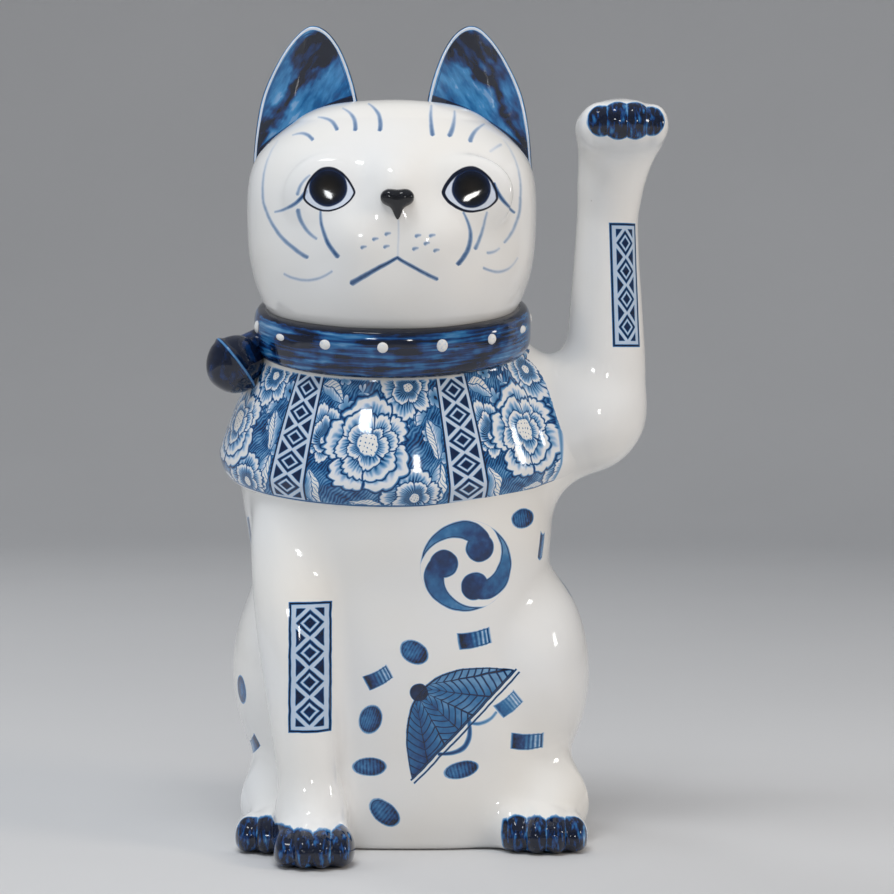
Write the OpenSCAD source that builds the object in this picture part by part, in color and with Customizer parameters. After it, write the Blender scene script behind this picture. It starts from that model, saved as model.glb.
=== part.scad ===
// Hollow glazed-ceramic beckoning cat, built from the clay pieces that are cast or pressed
// apart and luted together. Millimetres, +Z up, the face looks along -Y, and the origin lies
// on the resting surface under the middle of the body. Left and right are the cat's own.

/* [Figure] */
// Height from the resting surface to the ear tips
figure_h = 324; // [300:3:360]
// Wall of the hollow castings
wall = 5; // [4:0.5:6]
// Thickness of the slab that closes the base
slab_t = 6; // [5:0.5:8]
// Radius of the kiln vent hole in the base slab
vent_r = 12; // [8:0.5:14]

/* [Neck] */
// Forward lean of the collar and the bib, in degrees
neck_lean = 12; // [9:1:14]
// Outer radius of the collar band
collar_r = 56; // [55:0.5:57]
// Height of the collar band
collar_h = 19; // [17:0.5:20]
// Studs round the collar
stud_count = 15; // [11:1:18]
// Radius of one stud
stud_r = 2.4; // [1.8:0.2:3]
// Radius of the bib's hem
hem_r = 71; // [69:0.5:73]
// How far the hem lies below the middle of the collar
bib_drop = 57; // [52:1:60]

/* [Bell] */
// Radius of the bell
bell_r = 11.5; // [10:0.5:12]
// Radius of the raised rib round the bell
rib_r = 1.2; // [0.8:0.1:1.6]

/* [Hidden] */

design_h = 324;                  // height at which the numbers below are written
size_k = figure_h / design_h;
ball_fn = 28;                    // facets round a ball
egg_fn = 40;                     // facets round a haunch
bore_fn = 48;                    // facets round a hollow
ring_fn = 64;                    // facets round the neck and the bell
collar_fn = 96;                  // facets round the collar
small_fn = 20;                   // facets round a stud, the stem or the bell's rib
ring_points = 40;                // points round a section of a casting
big = 400;                       // larger than the figure
cut_past = 1;                    // how far a cutter runs past what it cuts

neck_at = [-2.8, -8, 202.5];     // middle of the collar
neck_r = 50;                     // radius of the neck inside the collar
shoulder_gap = 3;                // from the collar down to the top of the shoulders
shoulder_z = -collar_h / 2 - shoulder_gap;
neck_rise = 4;                   // the neck's spigot stands this far above the collar
head_wall_extra = 3;             // the head's spigot is thicker than its wall
slab_inset = wall / 2;           // the slab is let into a rebate in the wall
bib_squash = [1, 0.93, 1];       // the bib is a little flatter front to back
bib_seat = 4;                    // the bib reaches this far in under the neck
bib_steps = 10;
bib_widest = 0.78;               // share of the way down at which the bib is widest
bib_roundness = 0.3;             // 0 for a straight flare and 1 for a full swelling
bib_tuck = 3.5;                  // how far the hem turns in
bib_top_set = 1;                 // the top of the bib lies this far inside the collar's face
bell_gap = 0.4;                  // clearance round the bell where it rests in the bib
stud_turn = -92.6;               // where the first stud is, in degrees round the collar
stud_lift = collar_h / 6;        // studs sit above the middle of the collar
collar_chamfer = [1.5, 2.5];
stem_r = [5, 3.6];               // radius of the stem at the collar and at the bell
stem_h = 10;
stem_back = 8;                   // how far the stem starts behind the bell
vent_at = [2, 30];

// Sections of the castings: height, middle x, middle y, half width, half depth, squareness
torso_rows = [
    [0, 4, 4, 60, 49, 2.6], [6, 4, 4, 62, 51, 2.6], [38, 4, 4, 62, 54, 2.5],
    [72, 2, 3, 60, 55, 2.4], [100, 1, 2, 58.5, 55, 2.3], [122, 0, 1.5, 61, 57.5, 2.2],
    [142, -1, 1.5, 63, 58.5, 2.1], [162, -2, 1.5, 61, 57, 2], [182, -2.8, -1, 55, 53, 2],
    [204, -2.8, -6, 49, 48, 2]];
head_rows = [
    [190, -2.8, -12, 40, 38, 2.2], [199, -2.8, -12, 49, 45, 2.3], [209, -2.8, -12, 54, 50, 2.4],
    [224, -2.8, -12, 57.5, 54, 2.5], [240, -2.8, -11, 59, 55, 2.5], [256, -2.8, -9, 58.5, 53, 2.6],
    [271, -2.8, -7, 56, 49, 2.6], [283, -2.8, -5, 49.5, 43, 2.5], [290.5, -2.8, -4, 38, 34, 2.4],
    [294, -2.8, -4, 24, 22, 2.2], [295, -2.8, -4, 10, 9, 2]];

// Balls that the limbs are stretched over: x, y, z, radius
arm_balls = [[48, 0, 157, 26], [75.5, -2, 165, 21], [81.5, -4, 184, 17], [82.5, -6, 209, 14.8],
             [82.5, -8, 234, 12.8], [83, -9, 262, 12.2]];
shoulder_balls = [[44, 0, 177, 21], [65, -2, 175, 19]];
paw_wrist = [83, -9, 269, 12.4];
paw_toes = [[76.5, -25, 283, 9.5], [86, -29, 285, 10.5], [95.5, -27, 284, 9.5]];
foreleg_balls = [[-40, -26, 132, 20], [-39.5, -41, 94, 15.5], [-36.5, -50, 56, 13.3],
                 [-33.5, -55, 20, 11.5], [-32, -60, 8, 12]];
front_toes = [[-40.5, -78, 6, 7], [-34.5, -84, 7, 7.5], [-27, -84, 7, 7.5], [-21, -78, 6, 7]];
left_heel = [58, -28, 14, 16];
right_heel = [-47, -28, 13, 15];
hind_mirror = 10;                // twice the middle line that the hind toes mirror about
cheek_balls = [[-10.5, -54, 235, 16], [9.5, -54, 235, 16]];
chin_ball = [-0.5, -52, 220, 15];
hind_toes = [[45.5, -53, 5, 6.5], [52, -57, 6.5, 7.5], [60, -57, 6.5, 7.5], [67, -53, 5, 6.5]];
tail_balls = [[6, 56, 12, 9], [22, 60, 11, 9], [36, 55, 13, 8], [44, 47, 20, 7]];
ear_rim = [[-55, 0, 270, 3.5], [-51.5, -1, 294, 3.5], [-45.5, -3, 308, 3.2], [-35, -5, 321, 3],
           [-26, -4, 314.5, 3], [-21, -3, 305, 3], [-19, -2, 289, 3.5]];
ear_back = [-38, 9, 282, 6];
ear_middle = [-37, 0, 294, 0];
ear_rim_share = 0.84;            // size of the cup's opening against the ear's outline
ear_cup_shift = [0, -5, 0, 0];
ear_cup_rise = [0, -2, 8, 0];    // the cup's floor lies in front of and above the ear's back
right_haunch_at = [-37, 4, 65];
right_haunch_r = [30.5, 45, 44];
left_haunch_at = [46, 5, 63];
left_haunch_r = [30.5, 46, 47];
bell_at = [-67.5, -20, 188];
bell_turn = [0, -125, -10];      // the bell's axis points out and down from the collar
nose_at = [-0.5, -70.5, 250];
nostril_r = 3;
nostril_shift = [3.4, 1.5, 1.5]; // sideways, back and up from the middle of the nose
nose_tip_r = 1.6;
nose_tip_shift = [0, 1.5, -3];

// One mesh for whatever it holds, so that organic surfaces are cut cleanly
module as_mesh() resize([0, 0, 0]) children();

module at_neck() translate(neck_at) rotate([neck_lean, 0, 0]) children();

module ball(b, extra = 0) translate([b[0], b[1], b[2]]) sphere(r = b[3] + extra, $fn = ball_fn);

module limb(balls, extra = 0)
    for (i = [0 : len(balls) - 2]) hull() {
        ball(balls[i], extra);
        ball(balls[i + 1], extra);
    }

function squared(c, n) = sign(c) * pow(abs(c), 2 / n);

function section(row, inset) = [for (i = [0 : ring_points - 1]) let (a = 360 * i / ring_points)
    [row[1] + (row[3] - inset) * squared(cos(a), row[5]),
     row[2] + (row[4] - inset) * squared(sin(a), row[5])]];

module loft(rows, inset = 0, lift = 0) {
    n = ring_points;
    last = len(rows) - 1;
    points = [for (r = rows) for (p = section(r, inset)) [p[0], p[1], r[0] + lift]];
    sides = [for (j = [0 : last - 1]) for (i = [0 : n - 1]) let (k = (i + 1) % n)
        [j * n + i, j * n + n + i, j * n + n + k, j * n + k]];
    floor_cap = [[for (i = [0 : n - 1]) i]];
    top_cap = [[for (i = [n - 1 : -1 : 0]) last * n + i]];
    polyhedron(points, concat(sides, floor_cap, top_cap));
}

// Cut off level with the resting surface
module standing() intersection() {
    children();
    translate([-big, -big, 0]) cube([2 * big, 2 * big, big]);
}

// A ball stretched to each of several others
module stretched_to(targets, from) for (t = targets) hull() {
    ball(t);
    ball(from);
}

module egg(at, r, inset = 0) translate(at) scale((r - [inset, inset, inset]) / 10)
    sphere(r = 10, $fn = egg_fn);

// Outer bodies, solid, that the pieces are cut from
module torso_body() {
    intersection() {
        loft(torso_rows);
        at_neck() translate([0, 0, shoulder_z - big]) cube(2 * big, center = true);
    }
    at_neck() translate([0, 0, -collar_h]) cylinder(r = neck_r, h = collar_h, $fn = ring_fn);
}

module head_body() {
    intersection() {
        loft(head_rows);
        at_neck() translate([0, 0, big + collar_h / 2]) cube(2 * big, center = true);
    }
    at_neck() cylinder(r = neck_r, h = collar_h / 2 + neck_rise, $fn = ring_fn);
    for (cheek = cheek_balls) ball(cheek);
    ball(chin_ball);
}

module right_haunch_body(inset = 0) egg(right_haunch_at, right_haunch_r, inset);
module left_haunch_body(inset = 0) egg(left_haunch_at, left_haunch_r, inset);

module arm_body(inset = 0) {
    limb(arm_balls, -inset);
    limb(shoulder_balls, -inset);
}

module left_hind_balls() stretched_to(hind_toes, left_heel);

module right_hind_balls()
    stretched_to([for (t = hind_toes) [hind_mirror - t[0], t[1], t[2], t[3]]], right_heel);

module torso_shell() color("whitesmoke") as_mesh() difference() {
    torso_body();
    translate([0, 0, -slab_t]) linear_extrude(2 * slab_t) polygon(section(torso_rows[0], slab_inset));
    intersection() {
        loft(torso_rows, wall, slab_t - 1);
        at_neck() translate([0, 0, shoulder_z - wall - big]) cube(2 * big, center = true);
    }
    at_neck() translate([0, 0, -3 * collar_h]) cylinder(r = neck_r - wall, h = 4 * collar_h, $fn = bore_fn);
}

module base_slab() color("linen") difference() {
    linear_extrude(slab_t) polygon(section(torso_rows[0], slab_inset));
    translate([vent_at[0], vent_at[1], -cut_past])
        cylinder(r = vent_r, h = slab_t + 2 * cut_past, $fn = bore_fn);
}

module right_haunch() color("whitesmoke") as_mesh() difference() {
    standing() right_haunch_body();
    right_haunch_body(wall);
    torso_body();
}

module left_haunch() color("whitesmoke") as_mesh() difference() {
    standing() left_haunch_body();
    left_haunch_body(wall);
    torso_body();
}

module planted_foreleg() color("whitesmoke") as_mesh() difference() {
    standing() union() {
        limb(foreleg_balls);
        stretched_to(front_toes, foreleg_balls[4]);
    }
    torso_body();
    right_haunch_body();
    right_hind_balls();
}

module right_hind_paw() color("whitesmoke") as_mesh() difference() {
    standing() right_hind_balls();
    torso_body();
    right_haunch_body();
}

module left_hind_paw() color("whitesmoke") as_mesh() difference() {
    standing() left_hind_balls();
    torso_body();
    left_haunch_body();
}

module tail() color("whitesmoke") as_mesh() difference() {
    standing() limb(tail_balls);
    torso_body();
    left_haunch_body();
}

module raised_arm() color("whitesmoke") as_mesh() difference() {
    arm_body();
    arm_body(wall);
    torso_body();
    at_neck() cylinder(r = collar_r, h = collar_h, center = true, $fn = collar_fn);
}

module raised_paw() color("whitesmoke") as_mesh() difference() {
    union() {
        stretched_to(paw_toes, paw_wrist);
        hull() for (t = paw_toes) ball(t);
    }
    arm_body();
}

// Outline of the bib: falls from under the collar, flares, and turns in a little at the hem
function bib_flare(s) = (1 - bib_roundness) * s + bib_roundness * sin(90 * s);

module bib_outline() {
    top = -collar_h / 2;
    start_r = collar_r - bib_top_set;
    in_r = neck_r - bib_seat;
    face = [for (i = [0 : bib_steps]) let (
        t = i / bib_steps,
        turned_in = max(0, (t - bib_widest) / (1 - bib_widest)),
        r = start_r + (hem_r - start_r) * bib_flare(min(1, t / bib_widest)) - bib_tuck * pow(turned_in, 2))
        [r, top - (bib_drop + top) * t]];
    polygon(concat([[in_r, top]], face, [[in_r, -bib_drop]]));
}

module bib_solid() at_neck() scale(bib_squash) rotate_extrude($fn = 72) bib_outline();

module bib() color("cornflowerblue") as_mesh() difference() {
    bib_solid();
    torso_body();
    arm_body();
    translate(bell_at) sphere(r = bell_r + rib_r + bell_gap, $fn = egg_fn);
}

module collar_solid() {
    half = collar_h / 2;
    edge_r = collar_r - collar_chamfer[0];
    face_h = half - collar_chamfer[1];
    rotate_extrude($fn = collar_fn) polygon([
        [neck_r, -half], [edge_r, -half], [collar_r, -face_h],
        [collar_r, face_h], [edge_r, half], [neck_r, half]]);
}

module collar_band() color("midnightblue") at_neck() collar_solid();

module collar_studs() color("white") at_neck() for (i = [0 : stud_count - 1])
    rotate([0, 0, stud_turn + 360 * i / stud_count]) difference() {
        translate([collar_r, 0, stud_lift]) sphere(r = stud_r, $fn = small_fn);
        rotate([0, 0, -stud_turn - 360 * i / stud_count])
            cylinder(r = collar_r, h = collar_h, center = true, $fn = collar_fn);
    }

module at_bell() translate(bell_at) rotate(bell_turn) children();

module bell_stem() color("black") as_mesh() difference() {
    at_bell() translate([0, 0, -bell_r - stem_back])
        cylinder(r1 = stem_r[0], r2 = stem_r[1], h = stem_h, $fn = small_fn);
    translate(bell_at) sphere(r = bell_r, $fn = collar_fn);
    at_neck() cylinder(r = collar_r, h = 3 * collar_h, center = true, $fn = collar_fn);
    bib_solid();
}

module bell() color("black") at_bell() sphere(r = bell_r, $fn = ring_fn);

module bell_rib() color("steelblue") at_bell() difference() {
    rotate_extrude($fn = ring_fn) translate([bell_r, 0]) circle(r = rib_r, $fn = small_fn);
    sphere(r = bell_r, $fn = ring_fn);
}

module head_shell() color("whitesmoke") as_mesh() difference() {
    head_body();
    intersection() {
        loft(head_rows, wall, -wall / 2);
        at_neck() translate([0, 0, big - collar_h]) cube(2 * big, center = true);
    }
    at_neck() translate([0, 0, -collar_h])
        cylinder(r = neck_r - wall - head_wall_extra, h = 2 * collar_h, $fn = bore_fn);
    nose_body();
}

module ear_body() difference() {
    hull() for (b = concat(ear_rim, [ear_back])) ball(b);
    hull() {
        for (b = ear_rim) ball(ear_middle + ear_rim_share * (b - ear_middle) + ear_cup_shift);
        ball(ear_back + ear_cup_shift + ear_cup_rise);
    }
}

module mirrored_ear() translate([2 * neck_at[0], 0, 0]) mirror([1, 0, 0]) ear_body();

module right_ear() color("royalblue") as_mesh() difference() {
    ear_body();
    head_body();
}

module left_ear() color("royalblue") as_mesh() difference() {
    mirrored_ear();
    head_body();
}

module nose_body() hull() {
    for (side = [-1, 1])
        translate(nose_at + [side * nostril_shift[0], nostril_shift[1], nostril_shift[2]])
            sphere(r = nostril_r, $fn = ball_fn);
    translate(nose_at + nose_tip_shift) sphere(r = nose_tip_r, $fn = ball_fn);
}

module nose() color("black") as_mesh() nose_body();

module sized() scale(size_k) children();

sized() torso_shell();
sized() base_slab();
sized() right_haunch();
sized() left_haunch();
sized() planted_foreleg();
sized() right_hind_paw();
sized() left_hind_paw();
sized() tail();
sized() raised_arm();
sized() raised_paw();
sized() bib();
sized() collar_band();
sized() collar_studs();
sized() bell_stem();
sized() bell();
sized() bell_rib();
sized() head_shell();
sized() left_ear();
sized() right_ear();
sized() nose();
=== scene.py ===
"""Looks of the glazed ceramic beckoning cat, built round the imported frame.

Shapes are worked out in millimetres in the row frame: +Z up, the face towards -Y, the cat's own left at +X.
"""
import math

import bpy
import numpy as np
import openvdb
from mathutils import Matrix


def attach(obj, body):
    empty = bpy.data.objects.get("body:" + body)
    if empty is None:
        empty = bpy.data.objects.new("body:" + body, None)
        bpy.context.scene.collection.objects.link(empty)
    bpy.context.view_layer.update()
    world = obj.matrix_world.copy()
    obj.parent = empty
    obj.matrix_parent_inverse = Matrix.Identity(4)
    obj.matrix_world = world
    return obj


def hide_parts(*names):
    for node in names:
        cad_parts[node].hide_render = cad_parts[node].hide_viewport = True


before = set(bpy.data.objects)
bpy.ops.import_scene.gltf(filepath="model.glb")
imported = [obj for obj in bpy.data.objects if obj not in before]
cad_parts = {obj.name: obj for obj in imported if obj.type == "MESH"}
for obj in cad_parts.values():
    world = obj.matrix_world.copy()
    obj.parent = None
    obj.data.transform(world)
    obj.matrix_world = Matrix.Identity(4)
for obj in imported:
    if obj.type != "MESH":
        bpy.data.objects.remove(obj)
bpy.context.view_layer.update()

MM = 0.001
VOXEL = 1.3
TINY = 1e-6

# ---------------- distance fields


def spline(at, knots, values):
    """Smooth curve through values at knots, with flat ends beyond them."""
    at = np.clip(at, knots[0], knots[-1])
    i = np.clip(np.searchsorted(knots, at, side="right") - 1, 0, len(knots) - 2)
    step = (knots[1:] - knots[:-1])[i]
    t = (at - knots[i]) / step
    slope = np.gradient(values, knots)
    a, b = values[i], values[i + 1]
    return (a * (1 + 2 * t) * (1 - t) ** 2 + b * t * t * (3 - 2 * t)
            + step * (slope[i] * t * (1 - t) ** 2 + slope[i + 1] * t * t * (t - 1)))


def smooth_min(a, b, k):
    """The nearer of two distances, with a fillet of about k where they meet."""
    h = np.maximum(k - np.abs(a - b), 0) / k
    return np.minimum(a, b) - h * h * k / 4


def smooth_max(a, b, k):
    return -smooth_min(-a, -b, k)


def loft(x, y, z, rows):
    """Stack of squared ellipses: rows of height, middle x, middle y, half width, half depth, squareness."""
    rows = np.array(rows, dtype=float)
    cx, cy, hw, hd, n = (spline(z, rows[:, 0], rows[:, i]) for i in range(1, 6))
    dx, dy = x - cx, y - cy
    rho = ((np.abs(dx) / hw) ** n + (np.abs(dy) / hd) ** n) ** (1 / n) + TINY
    return np.hypot(dx, dy) * (1 - 1 / rho)


def egg(x, y, z, at, radii):
    """Ellipsoid with its middle at a place."""
    qx, qy, qz = ((c - a) / r for c, a, r in zip((x, y, z), at, radii))
    near = np.sqrt(qx * qx + qy * qy + qz * qz)
    slope = np.sqrt((qx / radii[0]) ** 2 + (qy / radii[1]) ** 2 + (qz / radii[2]) ** 2) + TINY
    return near * (near - 1) / slope


def limb(x, y, z, balls, k=8):
    """Rounded limb through balls of x, y, z, radius."""
    out = None
    for a, b in zip(balls, balls[1:]):
        a, b = np.array(a, dtype=float), np.array(b, dtype=float)
        ab = b[:3] - a[:3]
        from_a = (x - a[0], y - a[1], z - a[2])
        h = np.clip(sum(u * v for u, v in zip(from_a, ab)) / (ab @ ab), 0, 1)
        reach = np.sqrt(sum((u - h * v) ** 2 for u, v in zip(from_a, ab)))
        d = reach - (a[3] + h * (b[3] - a[3]))
        out = d if out is None else smooth_min(out, d, k)
    return out


# ---------------- meshes from fields


def linked(name, data):
    """Object put in the scene."""
    made = bpy.data.objects.new(name, data)
    bpy.context.collection.objects.link(made)
    return made


def mesh_object(name, points, faces):
    """Smooth mesh of points in millimetres."""
    mesh = bpy.data.meshes.new(name)
    mesh.from_pydata((np.asarray(points) * MM).tolist(), [], [list(f) for f in faces])
    mesh.validate()
    mesh.shade_smooth()
    return linked(name, mesh)


def gradient(field, p, e=0.05):
    """Slope of a field at points, from steps of e to both sides."""
    parts = []
    for axis in range(3):
        step = np.zeros(3)
        step[axis] = e
        hi, lo = p + step, p - step
        parts.append((field(*hi.T) - field(*lo.T)) / (2 * e))
    return np.stack(parts, axis=1)


def skin(name, field, low, high, voxel):
    """Closed mesh of the surface where field is zero, inside the box low to high."""
    axes = [np.arange(a, b + voxel, voxel) for a, b in zip(low, high)]
    x, y, z = np.meshgrid(*axes, indexing="ij", sparse=True)
    values = np.broadcast_to(field(x, y, z), [len(a) for a in axes])
    values = np.ascontiguousarray(values, dtype=np.float32)
    band = 3 * voxel
    grid = openvdb.FloatGrid(band)
    grid.copyFromArray(np.clip(values, -band, band))
    points, quads = grid.convertToQuads(0.0)
    points = points.astype(float) * voxel + np.array(low)
    for _ in range(3):
        g = gradient(field, points)
        size = np.maximum((g * g).sum(axis=1), 0.05)
        move = (field(*points.T) / size)[:, None] * g
        points -= np.clip(move, -voxel / 2, voxel / 2)
    return mesh_object(name, points, quads)


# ---------------- the leaning neck, which head, bib and collar share

NECK_AT = np.array([-2.8, -8.0, 202.5])
NECK_COS, NECK_SIN = math.cos(math.radians(12)), math.sin(math.radians(12))
COLLAR_R = 54.4
COLLAR_H = 19.0
HEM_R = 69.5
HEM_TUCK = 3.5
TUCK_FROM = 0.80
BIB_DROP = 59.0
BIB_LENGTH = BIB_DROP - COLLAR_H / 2
BIB_SQUASH = 0.93
BIB_DEPTH = 9
BIB_SIDE = 79


def neck_frame(x, y, z):
    """Coordinates in the leaning frame of the collar."""
    dx, dy, dz = x - NECK_AT[0], y - NECK_AT[1], z - NECK_AT[2]
    return dx, NECK_COS * dy + NECK_SIN * dz, NECK_COS * dz - NECK_SIN * dy


# ---------------- the fused, glazed body

VENT_AT = (2, 30)
VENT_ROOM_R = 14
VENT_ROOM_TOP = 60
SLAB_INSET = 2.6
SLAB_ROOM_TOP = 6.1

TORSO_ROWS = [
    [0, 4, 4, 60, 49, 2.6], [6, 4, 4, 62, 51, 2.6], [38, 4, 4, 62, 54, 2.5],
    [72, 2, 3, 60, 55, 2.4], [100, 1, 2, 58.5, 55, 2.3], [122, 0, 1.5, 61, 57.5, 2.2],
    [142, -1, 1.5, 63, 58.5, 2.1], [162, -2, 1.5, 61, 57, 2], [182, -2.8, -1, 55, 53, 2],
    [204, -2.8, -6, 49, 48, 2]]
FOREARM_ROWS = [
    [150, 76, -2, 14, 15, 2], [165, 79.5, -3, 18, 18, 2], [184, 81.8, -4, 16.6, 16.6, 2],
    [209, 82.4, -6, 14.6, 14.6, 2], [234, 82.6, -8, 12.7, 12.9, 2], [256, 83, -9, 11.9, 12.2, 2],
    [272, 83.4, -11, 12.2, 12.5, 2], [284, 84.5, -14, 13, 12.5, 2]]
UPPER_ARM_BALLS = [[46, 0, 157, 25], [73, -2, 163.5, 19.5]]
SHOULDER_BALLS = [[44, 0, 176, 20], [62, -2, 172, 18]]
PALM_BALLS = [[94, -20, 276, 9], [85, -13, 258, 9]]
FORELEG_ROWS = [
    [8, -32.8, -56, 11, 12, 2], [22, -33.6, -55, 11.2, 11.5, 2], [56, -37, -49, 13, 13.5, 2],
    [94, -40, -41, 15.6, 16.5, 2], [118, -39.5, -31, 18, 18, 2], [146, -36, -20, 20, 20, 2]]
TAIL_BALLS = [[6, 56, 12, 9], [22, 60, 11, 9], [36, 55, 13, 8], [44, 47, 20, 7]]
# Haunches: middle, radii, and the fillet that joins each to the torso.
HAUNCHES = [((46, 5, 64.5), (30.5, 46, 46.5), 6), ((-37, 4, 66), (30.5, 46, 43.5), 10)]
HAND = ((87, -24, 281), (17.2, 17, 10.8))
# Toes: middle of the four, how far the outer two stand from it, and the radii of one toe.
HIND_TOES = (11, (5.6, 11, 8.2))
LEFT_TOES = ((57, -48, 6.5), *HIND_TOES)
RIGHT_TOES = ((-46.5, -48, 6.5), *HIND_TOES)
FRONT_TOES = ((-31, -77, 6.5), 10, (5.4, 13, 8))
RAISED_TOES = ((88.4, -35, 281.8), 11.4, (5.2, 7.5, 7.6))
TOE_FAN = 4.5
TOE_DROP = 0.8


def toes(x, y, z, at, spread, radii):
    """Four toes side by side; the outer two stand back and a little lower."""
    out = None
    for i in range(4):
        side = (i - 1.5) / 1.5
        outer = side * side
        toe_at = (at[0] + spread * side, at[1] + TOE_FAN * outer, at[2] - TOE_DROP * outer)
        toe = egg(x, y, z, toe_at, radii)
        out = toe if out is None else smooth_min(out, toe, 2.2)
    return out


def paw(x, y, z, four_toes, heel):
    return smooth_min(toes(x, y, z, *four_toes), limb(x, y, z, heel), 5)


def cut_loft(x, y, z, rows, bottom, top, k):
    """Loft that ends, rounded, at a bottom and a top."""
    return smooth_max(loft(x, y, z, rows), np.abs(z - (bottom + top) / 2) - (top - bottom) / 2, k)


def hips_field(x, y, z):
    """Torso, haunches, hind paws, planted foreleg and tail."""
    out = loft(x, y, z, TORSO_ROWS)
    _, _, up = neck_frame(x, y, z)
    out = smooth_max(out, up - 4, 2)
    for middle, radii, fillet in HAUNCHES:
        out = smooth_min(out, egg(x, y, z, middle, radii), fillet)
    left_paw = paw(x, y, z, LEFT_TOES, [[58, -20, 14, 17], [57.5, -40, 8, 10]])
    right_paw = paw(x, y, z, RIGHT_TOES, [[-46, -20, 14, 16], [-46, -40, 8, 10]])
    out = smooth_min(smooth_min(out, left_paw, 14), right_paw, 12)
    leg = cut_loft(x, y, z, FORELEG_ROWS, 6, 146, 6)
    front_paw = paw(x, y, z, FRONT_TOES, [[-33, -55, 14, 12], [-31.5, -68, 8, 10]])
    leg = smooth_min(leg, front_paw, 10)
    # The leg meets the body in a crease on its outer side and in a soft hollow on its inner side.
    inner_side = np.clip((x + 42) / 18 + 0.5, 0, 1)
    out = smooth_min(out, leg, 3 + 6 * inner_side)
    return smooth_min(out, limb(x, y, z, TAIL_BALLS), 4)


def arm_field(x, y, z):
    """Raised arm from the shoulder to the bent paw."""
    forearm = cut_loft(x, y, z, FOREARM_ROWS, 154, 282, 10)
    upper = smooth_min(limb(x, y, z, UPPER_ARM_BALLS), limb(x, y, z, SHOULDER_BALLS), 6)
    hand = smooth_min(egg(x, y, z, *HAND), toes(x, y, z, *RAISED_TOES), 3.5)
    hand = smooth_min(hand, limb(x, y, z, PALM_BALLS), 6)
    return smooth_min(smooth_min(forearm, upper, 12), hand, 9)


def body_field(x, y, z):
    """Everything that one skin of glaze covers, with room below for the slab and its vent."""
    out = smooth_min(hips_field(x, y, z), arm_field(x, y, z), 12)
    out = smooth_max(out, -z, 3)
    vent_room = np.maximum(np.hypot(x - VENT_AT[0], y - VENT_AT[1]) - VENT_ROOM_R, z - VENT_ROOM_TOP)
    slab_rows = np.array(TORSO_ROWS) - [0, 0, 0, SLAB_INSET, SLAB_INSET, 0]
    slab_room = np.maximum(loft(x, y, 0 * z, slab_rows), z - SLAB_ROOM_TOP)
    return np.maximum(out, -np.minimum(vent_room, slab_room))


body = skin("glazed_body", body_field, (-78, -96, -3), (112, 78, 302), VOXEL)
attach(body, "root")
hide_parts("torso_shell", "left_haunch", "right_haunch", "planted_foreleg", "left_hind_paw",
            "right_hind_paw", "tail", "raised_arm", "raised_paw")

# ---------------- head

HEAD_ROWS = [
    [188, -2.8, -12, 30, 32, 2.1], [199, -2.8, -12, 41, 42, 2.2], [209, -2.8, -12, 49, 48.5, 2.3],
    [218, -2.8, -12, 53.2, 51.5, 2.4], [228, -2.8, -12, 55.8, 53, 2.5], [241, -2.8, -11, 57, 54, 2.5],
    [256, -2.8, -9, 57, 53, 2.6], [271, -2.8, -7, 55, 49, 2.6], [283, -2.8, -5, 49, 43, 2.5]]
CROWN_TOP = 292.5
CROWN_BEND = 0.0032
WHISKER_PAD = (15.5, 16.5, 14)
EYE_SWELLING = (16, 6, 14)
# Swellings of the face: middle, radii, and fillet; two whisker pads, chin, bridge of the nose, two eyes.
SWELLINGS = [((-11.3, -53.2, 234.5), WHISKER_PAD, 8), ((9.7, -53.2, 234.5), WHISKER_PAD, 8),
             ((-0.8, -51, 218), (22, 13, 12), 16), ((-0.8, -57.4, 252), (8.5, 11, 12), 12),
             ((-25.6, -54.4, 253), EYE_SWELLING, 5), ((28.2, -54.4, 253), EYE_SWELLING, 5)]


def head_field(x, y, z):
    """Head with a domed crown, cut off at the neck."""
    out = loft(x, y, z, HEAD_ROWS)
    crown = z - CROWN_TOP + CROWN_BEND * ((x - NECK_AT[0]) ** 2 + (y + 6) ** 2)
    out = smooth_max(out, crown, 26)
    for middle, radii, fillet in SWELLINGS:
        out = smooth_min(out, egg(x, y, z, middle, radii), fillet)
    _, _, up = neck_frame(x, y, z)
    return smooth_max(out, -2 - up, 2)


head = skin("head", head_field, (-66, -76, 184), (60, 50, 300), VOXEL)
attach(head, "root")
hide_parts("head_shell")

# ---------------- bib


def cape_radius(drop):
    """Radius of the bib's face at a drop from 0, under the collar, to 1, at the hem."""
    flare = np.clip(drop / TUCK_FROM, 0, 1)
    tuck = np.clip((drop - TUCK_FROM) / (1 - TUCK_FROM), 0, 2)
    swelling = 0.75 * flare + 0.25 * np.sin(flare * math.pi / 2)
    return COLLAR_R - 1.5 + (HEM_R - COLLAR_R + 1.6) * swelling - HEM_TUCK * tuck * tuck


def bib_field(x, y, z):
    """Flared band that hangs from under the collar and runs into the raised arm."""
    across, along, up = neck_frame(x, y, z)
    drop = (-COLLAR_H / 2 - up) / BIB_LENGTH
    cape = np.hypot(across, along / BIB_SQUASH) - cape_radius(drop)
    out = smooth_min(cape, arm_field(x, y, z) + 0.35, 10)
    out = smooth_max(out, -BIB_DROP - up, 3)
    out = smooth_max(out, up + COLLAR_H / 2 - 3, 2)
    out = smooth_max(out, across - BIB_SIDE, 1.5)
    return np.maximum(out, -cape - BIB_DEPTH)


bib = skin("bib_cape", bib_field, (-80, -72, 122), (84, 76, 212), VOXEL)
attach(bib, "root")
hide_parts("bib")

# ---------------- collar, slip dots and bell


def from_neck(p):
    """Points of the collar's leaning frame in the row frame."""
    x, y, z = np.asarray(p, dtype=float).T
    return np.stack([x, NECK_COS * y - NECK_SIN * z, NECK_SIN * y + NECK_COS * z], axis=1) + NECK_AT


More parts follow.
